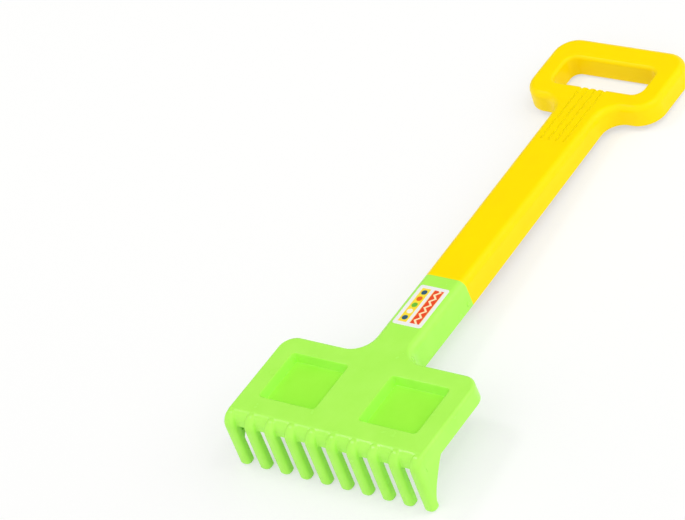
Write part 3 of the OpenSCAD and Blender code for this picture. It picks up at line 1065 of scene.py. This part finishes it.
    def mark_groove_shade(self, mesh: bpy.types.Mesh) -> None:
        """Gives the faces inside the grooves the second finish, a less red and duller yellow that is
        painted shade.

        They are the faces just below the flat top within half a groove's width of a groove.

        Args:
            mesh: The handle's mesh in the level frame.
        """
        x, y, z = of_faces(mesh, OfFace.MIDDLE)
        width, depth, length = self.groove
        rim = self.slot_span[0]
        near = from_nearest(x, self.groove_places) < width / 2 + HAIR
        within = near & (y > rim - length - width) & (y < rim)
        inside = within & (z < -FINE) & (z > -depth - HAIR)
        mesh.polygons.foreach_set("material_index", inside.astype(np.int32))


@dataclass
class Sticker:
    """The film sticker on the neck, which follows the neck's rounded edges."""

    joint: Joint  # The section that it lies on
    width: float = 29.0
    length: float = 47.0
    back: float = 12.3  # Distance from the joint plane to the film
    corner_r: float = 2.4  # Radius of its corners
    corner_steps: int = 8  # Steps round a corner
    film: float = 0.2  # Thickness of the film
    sink: float = 0.03  # How far its underside dips into the neck
    bevel: tuple = (0.6, 0.12)  # Insets of its top and of the shoulder below that
    shoulder: float = 0.6  # Share of the thickness at which the shoulder lies

    def build(self) -> bpy.types.Object:
        """Makes the film: a rounded rectangle in three rings, then bent over the edges.

        Each height is that of the neck's surface below it: flat, and past the start of the
        rounding a circle of the edge's radius.

        Returns:
            The sticker in the level frame, with its print's UV map in metres.
        """
        half, far = self.width / 2, self.joint.y - self.back
        near = far - self.length
        outline = Outline.rectangle((-half, half), (near, far), self.corner_r, self.corner_steps)
        depth = np.array([-self.film, -self.film * self.shoulder, self.sink])
        solid = loft(outline, depth, np.array([*self.bevel, 0.0]))
        points = solid.points
        over = np.abs(points[:, 0]) - (self.joint.half - self.joint.edge_r)
        points[:, 2] -= fall(self.joint.edge_r, np.clip(over, 0, None))
        made = piece_of("sticker_film", solid)
        mesh = made.data
        at = np.empty(len(mesh.loops), dtype=np.int64)
        mesh.loops.foreach_get("vertex_index", at)
        uv = (points[at, :2] - [-half, near]) * MM
        mesh.uv_layers.new(name="print").uv.foreach_set("vector", uv.ravel())
        return made


# Finishes


def linear(code: str) -> tuple:
    """Turns an sRGB hex colour to what shaders take.

    Args:
        code: A colour like #F2F1EE.

    Returns:
        Linear red, green and blue, and alpha.
    """
    parts = np.array([int(code[i : i + 2], 16) / 255 for i in (1, 3, 5)])
    value = np.where(parts <= 0.04045, parts / 12.92, ((parts + 0.055) / 1.055) ** 2.4)
    return (*value.tolist(), 1.0)


class Nodes:
    """Fills one node tree."""

    def __init__(self, tree: bpy.types.NodeTree) -> None:
        """Starts from an empty tree."""
        self.tree = tree
        tree.nodes.clear()

    def feed(self, target: bpy.types.NodeSocket, value: object) -> None:
        """Sets a socket, or links it where the value is a node or a node's output.

        Args:
            target: The socket.
            value: A number, a colour, an output, or a node whose first output in use counts.
        """
        if isinstance(value, bpy.types.Node):
            value = next(out for out in value.outputs if out.enabled)
        if isinstance(value, bpy.types.NodeSocket):
            self.tree.links.new(value, target)
        else:
            target.default_value = value

    def add(self, kind: str, settings: dict | None = None, **inputs: object) -> bpy.types.Node:
        """Adds a node.

        Args:
            kind: Blender's name of the node, after ShaderNode.
            settings: The node's own properties.
            inputs: Socket values, or nodes or outputs to link from. An underscore in a name
                stands for a space, and i with a number picks a socket by its place.

        Returns:
            The new node.
        """
        node = self.tree.nodes.new("ShaderNode" + kind)
        for key, value in (settings or {}).items():
            setattr(node, key, value)
        for key, value in inputs.items():
            place = int(key[1:]) if key[1:].isdigit() else key.replace("_", " ")
            self.feed(node.inputs[place], value)
        return node


class Finish(Nodes):
    """A material with its surface shader, ready for a finish to fill in."""

    def __init__(self, name: str, **inputs: object) -> None:
        """Makes the material, its shader and its output.

        Args:
            name: Name of the material.
            inputs: Values of the shader's sockets, as add takes them.
        """
        self.material = bpy.data.materials.new(name)
        self.material.use_nodes = True
        super().__init__(self.material.node_tree)
        self.shader = self.add("BsdfPrincipled", None, **inputs)
        self.output = self.add("OutputMaterial", None, Surface=self.shader)


@dataclass(frozen=True)
class MouldedPlastic:
    """Injection-moulded polypropylene from a polished tool, coloured in the mass.

    It gives the eye an even, saturated colour with a soft gloss, a faint flow mottle, and a
    little light that travels in thin walls.
    """

    name: str
    colour: str
    deep: str  # Its colour where the melt flowed slowly
    roughness: float = 0.32  # Roughness of the polished skin
    shine: float = 0.5  # Strength of its mirror at a straight look
    mottle_mm: float = 26.0  # Size of the flow marks
    wave_mm: float = 18.0  # Width of the skin's slow waves
    wave_height_mm: float = 0.2  # Height of those waves
    glow: float = 0.04  # Share of light that travels inside
    glow_mm: float = 2.5  # How far it travels
    glow_tint: tuple = (1.0, 1.0, 0.35)  # Share of that way for red, green and blue
    wave_strength: float = 0.12  # How much the waves tilt the gloss
    spread: tuple = (-0.03, 0.04)  # Change of the roughness over the flow marks

    def make(self) -> bpy.types.Material:
        """Builds the material: a slow noise mixes both colours and moves the roughness a little.

        Returns:
            The material.
        """
        nodes = Finish(self.name, IOR=1.49, Specular_IOR_Level=self.shine,
                       Subsurface_Weight=self.glow, Subsurface_Radius=self.glow_tint,
                       Subsurface_Scale=self.glow_mm * MM)
        add, skin = nodes.add, nodes.shader.inputs
        place = add("TexCoord").outputs["Object"]
        flow = add("TexNoise", {"noise_dimensions": "3D"}, Vector=place,
                   Scale=1 / (self.mottle_mm * MM), Detail=3.0, Roughness=0.55)
        share = add("MapRange", None, Value=flow, From_Min=FAINT, From_Max=FULL)
        ink = add("Mix", {"data_type": "RGBA"}, i0=share, i6=linear(self.colour), i7=linear(self.deep))
        gloss = add("MapRange", None, Value=flow, From_Min=FAINT, From_Max=FULL,
                    To_Min=self.roughness + self.spread[0], To_Max=self.roughness + self.spread[1])
        waves = add("TexNoise", None, Vector=place, Scale=1 / (self.wave_mm * MM), Detail=0.0)
        tilt = add("Bump", None, Strength=self.wave_strength, Distance=self.wave_height_mm * MM,
                   Height=waves)
        for socket, value in (("Base Color", ink), ("Roughness", gloss), ("Normal", tilt)):
            nodes.feed(skin[socket], value)
        return nodes.material


@dataclass(frozen=True)
class PrintedFilm:
    """Glossy printed vinyl film: white ground, a bar with a zigzag and a band with dots.

    It gives the eye crisp, flat inks under one smooth, slightly uneven gloss. The print is a
    made-up pattern, and all its sizes are millimetres on the film.
    """

    name: str = "printed_vinyl_film"
    ground: str = "#F2F1EE"  # Colour of the film
    ribbon: str = "#EE4B1E"  # Colour of the bar
    edge: str = "#FFD98A"  # Colour of the thin line on both sides of the bar
    zigzag: str = "#FFE9B8"
    band: str = "#FFE23A"
    # Colours of the dots on the band, one after the other
    dots: tuple = ("#2F5D74", "#F7F3E8", "#6CBF3A", "#EE6A1E")
    dot_x: float = 8.2  # Place of the band and its dots across the film
    dot_r: float = 2.7
    pitch: float = 7.6  # Distance from one dot to the next, and length of one zigzag
    band_half: float = 4.3  # Half the band's width
    ribbon_x: float = 20.6  # Place of the bar across the film
    ribbon_half: float = 4.4  # Half the bar's width
    edge_width: float = 0.7  # Width of the thin line
    zigzag_half: float = 1.2  # Half the zigzag's width across the film
    swing: float = 1.9  # How far the zigzag swings to each side
    margin: float = 3.6  # White margin at both ends
    first_dot: float = 1.0  # Distance from the margin to the first dot's cell
    length: float = 47.0
    speck_mm: float = 2.5  # Size of the uneven spots in its gloss
    roughness: tuple = (0.3, 0.4)  # Least and most roughness of the film

    def make(self) -> bpy.types.Material:
        """Builds the material: the inks are laid over one another, each where its mask is 1.

        A mask is 1 where a place lies within a distance of a line. The zigzag's line swings
        with the triangle wave of the place along the film. A dot's mask is 1 within its
        radius of the middle of its cell, which is half a pitch from the cell's edges.

        Returns:
            The material.
        """
        nodes = Finish(self.name, IOR=1.5)
        add, skin = nodes.add, nodes.shader.inputs
        uv = add("UVMap", {"uv_map": "print"}).outputs["UV"]
        place = add("SeparateXYZ", None, i0=add("VectorMath", {"operation": "SCALE"}, i0=uv, Scale=1 / MM))
        x, y = place.outputs["X"], place.outputs["Y"]
        wave = add("Math", {"operation": "PINGPONG"}, i0=y, i1=self.pitch / 2)
        line = add("MapRange", None, Value=wave, From_Max=self.pitch / 2,
                   To_Min=self.ribbon_x - self.swing, To_Max=self.ribbon_x + self.swing)
        stripes = (
            (self.edge, self.ribbon_x, self.ribbon_half + self.edge_width),
            (self.ribbon, self.ribbon_x, self.ribbon_half),
            (self.zigzag, line, self.zigzag_half),
            (self.band, self.dot_x, self.band_half),
        )
        shade = linear(self.ground)
        for ink, middle, half in stripes:
            mask = add("Math", {"operation": "COMPARE"}, i0=x, i1=middle, i2=half)
            shade = add("Mix", {"data_type": "RGBA"}, i0=mask, i6=shade, i7=linear(ink))
        cell = add("Math", {"operation": "SUBTRACT"}, i0=y, i1=self.margin + self.first_dot)
        inner = add("Math", {"operation": "PINGPONG"}, i0=cell, i1=self.pitch / 2)
        far = add("VectorMath", {"operation": "DISTANCE"}, i0=add("CombineXYZ", None, X=x, Y=inner),
                  i1=(self.dot_x, self.pitch / 2, 0.0))
        dot = add("Math", {"operation": "LESS_THAN"}, i0=far, i1=self.dot_r)
        cycle = len(self.dots) * self.pitch
        turn = add("Math", {"operation": "FLOORED_MODULO"}, i0=cell, i1=cycle)
        inks = add("ValToRGB", None, i0=add("Math", {"operation": "DIVIDE"}, i0=turn, i1=cycle))
        inks.color_ramp.interpolation = "CONSTANT"
        while len(inks.color_ramp.elements) < len(self.dots):
            inks.color_ramp.elements.new(0.5)
        for number, (stop, ink) in enumerate(zip(inks.color_ramp.elements, self.dots)):
            stop.position, stop.color = number / len(self.dots), linear(ink)
        shade = add("Mix", {"data_type": "RGBA"}, i0=dot, i6=shade, i7=inks)
        inside = add("Math", {"operation": "COMPARE"}, i0=y, i1=self.length / 2,
                     i2=self.length / 2 - self.margin)
        shade = add("Mix", {"data_type": "RGBA"}, i0=inside, i6=linear(self.ground), i7=shade)
        specks = add("TexNoise", None, Vector=uv, Scale=1 / (self.speck_mm * MM), Detail=2.0)
        gloss = add("MapRange", None, Value=specks, From_Min=FAINT, From_Max=FULL,
                    To_Min=self.roughness[0], To_Max=self.roughness[1])
        for socket, value in (("Base Color", shade), ("Roughness", gloss)):
            nodes.feed(skin[socket], value)
        return nodes.material


@dataclass(frozen=True)
class StudioPaper:
    """Seamless white studio paper, shown white with the object's shadow kept on it.

    Rays from the camera, and those that a surface mirrors or lets through, see the paper's
    own shading mixed with plain white. All other rays see the paper alone.
    """

    name: str = "white_studio_paper"
    colour: str = "#FAFAF8"
    white: float = 0.55  # Share of plain white that those rays see

    def make(self) -> bpy.types.Material:
        """Builds the material.

        Returns:
            The material.
        """
        nodes = Finish(self.name, Base_Color=linear(self.colour), Roughness=0.7, Specular_IOR_Level=0.0)
        path = nodes.add("LightPath").outputs
        seen = path["Is Camera Ray"]
        for kind in ("Is Glossy Ray", "Is Transmission Ray"):
            seen = nodes.add("Math", {"operation": "MAXIMUM"}, i0=seen, i1=path[kind])
        share = nodes.add("Math", {"operation": "MULTIPLY"}, i0=seen, i1=self.white)
        plain = nodes.add("Emission", None, Strength=1.0)
        mixed = nodes.add("MixShader", None, i0=share, i1=nodes.shader, i2=plain)
        nodes.feed(nodes.output.inputs["Surface"], mixed)
        return nodes.material


# The scene, in metres


def stand(made: bpy.types.Object, right: np.ndarray, up: np.ndarray, at: Sequence[float]) -> None:
    """Stands a lamp or a camera in the studio.

    Args:
        made: The lamp or the camera, which looks against the cross product of both directions.
        right: Direction of its own right, of length 1.
        up: Direction of its own up, of length 1.
        at: Its place.
    """
    turn = np.eye(4)
    turn[:3] = np.column_stack([right, up, np.cross(right, up), at])
    made.matrix_world = Matrix(turn.tolist())


@dataclass(frozen=True)
class SoftBox:
    """A square lamp that hangs in the studio."""

    name: str
    at: tuple
    size: float  # Length of its side
    power: float  # Its power in watts
    aim: tuple = (0.0, 0.0, 0.0)  # The point that it looks at

    def hang(self) -> None:
        """Adds the lamp to the scene."""
        data = bpy.data.lights.new(self.name, "AREA")
        data.shape, data.size, data.energy = "SQUARE", self.size, self.power
        back = unit(np.array(self.at) - self.aim)
        right = unit(np.cross([0.0, 0.0, 1.0], back))
        stand(added(self.name, data), right, np.cross(back, right), self.at)


@dataclass(frozen=True)
class Studio:
    """Floor, lamps, sky and camera."""

    camera_at: tuple = (1.56007, -1.45738, 1.86049)  # Place of the camera
    right: tuple = (0.793013, 0.511572, -0.330795)  # The camera's own right
    up: tuple = (-0.165102, 0.703146, 0.691612)  # The camera's own up
    lens: float = 178.4315  # Focal length in millimetres
    sensor: float = 36.0  # Width of the sensor in millimetres
    floor_half: float = 6.0  # Half the floor's side
    floor_low: float = 0.0003  # How far the floor lies below the toes
    clip: tuple = (0.1, 50.0)  # Nearest and farthest that the camera sees
    sky: tuple = (0.84, 0.99)  # Least and most light of the sky
    bright_side: tuple = (0.7, -0.15, 0.65)  # Where the sky is brightest
    panel_at: tuple = (-0.551, 0.515, 0.657)  # Where the dim panel stands
    panel_cosines: tuple = (0.64, 0.94)  # Cosines to that direction at which the panel starts and is full
    panel: float = 0.1  # Share of light that the full panel leaves
    # The key and front boxes give the walls their light, the two small high ones the glints on
    # edges and pips
    lamps: tuple = (
        SoftBox("key", (1.9, 1.0, 1.5), 1.6, 10.0),
        SoftBox("high_left", (-1.25, 0.1, 2.15), 0.5, 9.5),
        SoftBox("high_right", (1.2, 0.4, 2.25), 0.35, 5.0),
        SoftBox("front", (-0.2, -1.5, 2.0), 1.6, 2.5, (0.0, 0.1, 0.0)),
    )

    def camera(self) -> None:
        """Sets the camera at the photograph's viewing angle."""
        data = bpy.data.cameras.new("camera")
        data.lens, data.sensor_width = self.lens, self.sensor
        data.clip_start, data.clip_end = self.clip
        view = added("camera", data)
        stand(view, np.array(self.right), np.array(self.up), self.camera_at)
        bpy.context.scene.camera = view

    def floor(self) -> None:
        """Lays the paper on the ground."""
        mesh = bpy.data.meshes.new("floor")
        corners = np.array([[-1, -1], [1, -1], [1, 1], [-1, 1]]) * self.floor_half
        points = np.column_stack([corners, np.full(4, -self.floor_low)])
        mesh.from_pydata(points.tolist(), [], [[0, 1, 2, 3]])
        mesh.materials.append(StudioPaper().make())
        made = added("floor", mesh)

    def sky_light(self) -> None:
        """Fills the scene with pale light, graded across it, and shows white behind it.

        The grade grows with the cosine to the bright side. A dim panel stands where the flat
        top mirrors towards the camera, as a studio's black card does, so that its colour
        stays deep. The camera sees plain white, and so do mirrored rays past the panel.
        """
        world = bpy.data.worlds.new("studio_sky")
        world.use_nodes = True
        add = Nodes(world.node_tree).add
        way = add("TexCoord").outputs["Generated"]
        to_bright, to_panel = (
            add("VectorMath", {"operation": "DOT_PRODUCT"}, i0=way, i1=unit(np.array(aim)).tolist())
            for aim in (self.bright_side, self.panel_at)
        )
        grade = add("MapRange", None, Value=to_bright, From_Min=-1.0, From_Max=1.0,
                    To_Min=self.sky[0], To_Max=self.sky[1])
        panel = add("MapRange", {"interpolation_type": "SMOOTHSTEP"}, Value=to_panel,
                    From_Min=self.panel_cosines[0], From_Max=self.panel_cosines[1],
                    To_Min=1.0, To_Max=self.panel)
        path = add("LightPath").outputs
        for kind in ("Is Glossy Ray", "Is Transmission Ray"):
            grade = add("Math", {"operation": "MAXIMUM"}, i0=grade, i1=path[kind])
        dimmed = add("Math", {"operation": "MULTIPLY"}, i0=grade, i1=panel)
        strength = add("Math", {"operation": "MAXIMUM"}, i0=dimmed, i1=path["Is Camera Ray"])
        light = add("Background", None, Color=(1.0, 1.0, 1.0, 1.0), Strength=strength)
        add("OutputWorld", None, Surface=light)
        bpy.context.scene.world = world

    def build(self) -> None:
        """Makes everything that isn't part of the object."""
        self.camera()
        self.floor()
        self.sky_light()
        for lamp in self.lamps:
            lamp.hang()
        bpy.context.scene.view_settings.view_transform = "Standard"


def resting(head: Head, handle: Handle) -> Matrix:
    """How the rake lies: half round toes and the grip's far lower edge touch the ground.

    The line from the toes' centre to that edge is tipped until the edge is one toe radius
    lower than the centre.

    Args:
        head: The rake head.
        handle: The handle.

    Returns:
        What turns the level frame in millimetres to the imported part's frame in metres: a
        tilt about X, then a move that centres the rake and sets it on the ground.
    """
    toe_r = head.tine_depth / 2
    toe_y, toe_z = head.front + toe_r, toe_r - head.tine_drop
    dy, dz = handle.end + LEAN * handle.depth - toe_y, -handle.depth - toe_z
    tilt = math.asin(toe_r / math.hypot(dy, dz)) + math.atan2(dz, dy)
    cos, sin, edge = math.cos(tilt), math.sin(tilt), handle.grip_edge_r
    front = toe_y * cos + toe_z * sin - toe_r
    back = (handle.end - edge) * cos - edge * sin + edge
    ground = toe_z * cos - toe_y * sin - toe_r
    move = Matrix.Translation((0, -(front + back) / 2, -ground))
    return Matrix.Scale(MM, 4) @ move @ Matrix.Rotation(-tilt, 4, "X")


def finished(piece: bpy.types.Object, lay: Matrix, materials: Sequence, sharp: float) -> None:
    """Lays a piece down, smooths its shading and dresses it.

    Args:
        piece: The piece, still in the level frame in millimetres, with its faces numbered
            by finish.
        lay: What resting gives.
        materials: Its finishes.
        sharp: Angle in degrees above which an edge stays crisp.
    """
    mesh = piece.data
    mesh.transform(lay)
    for material in materials:
        mesh.materials.append(material)
    mesh.polygons.foreach_set("use_smooth", [True] * len(mesh.polygons))
    mesh.set_sharp_from_angle(angle=math.radians(sharp))
    even = piece.modifiers.new("even_shading", "WEIGHTED_NORMAL")
    even.mode, even.weight, even.keep_sharp = "FACE_AREA", 50, True
    mesh.update()


def main() -> None:
    """Builds the rake and its studio."""
    logging.basicConfig(level=logging.INFO, format="%(name)s: %(message)s")
    joint = Joint()
    head, handle = Head(joint), Handle(joint)
    lay = resting(head, handle)
    green = MouldedPlastic("polypropylene_leaf_green", "#B3F95E", "#ADF657", 0.24, 0.3)
    # Painted shade: the pockets' faces get a darker, deeper green for the shade that their walls cast on
    # one another
    pocket = MouldedPlastic("polypropylene_leaf_green_painted_pocket_shade", "#A5F845", "#9FF43E", 0.32, 0.3)
    yellow = MouldedPlastic("polypropylene_sun_yellow", "#FFE200", "#FFDE00", 0.32, 0.12)
    # Painted shade: the grooves' faces get a less red, duller yellow, so that each groove reads as a
    # steady darker line
    groove = MouldedPlastic("polypropylene_sun_yellow_painted_groove_shade", "#F8E600", "#F6E300", 0.4, 0.1)
    # How each is built, its finishes, what it replaces, its slot, and its crisp edges in degrees
    pieces = (
        (head.build, [green.make(), pocket.make()], "rake_head", "green_plastic", 30.0),
        (handle.build, [yellow.make(), groove.make()], "handle", "yellow_plastic", 30.0),
        (Sticker(joint).build, [PrintedFilm().make()], "label", "sticker_film", 40.0),
    )
    for build, materials, node, slot, sharp in pieces:
        piece = build()
        finished(piece, lay, materials, sharp)
        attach(piece, "root")
        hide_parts(node)
        LOG.info("%s: %d points, %d faces", piece.name, len(piece.data.vertices), len(piece.data.polygons))
    Studio().build()


if __name__ == "__main__":
    main()
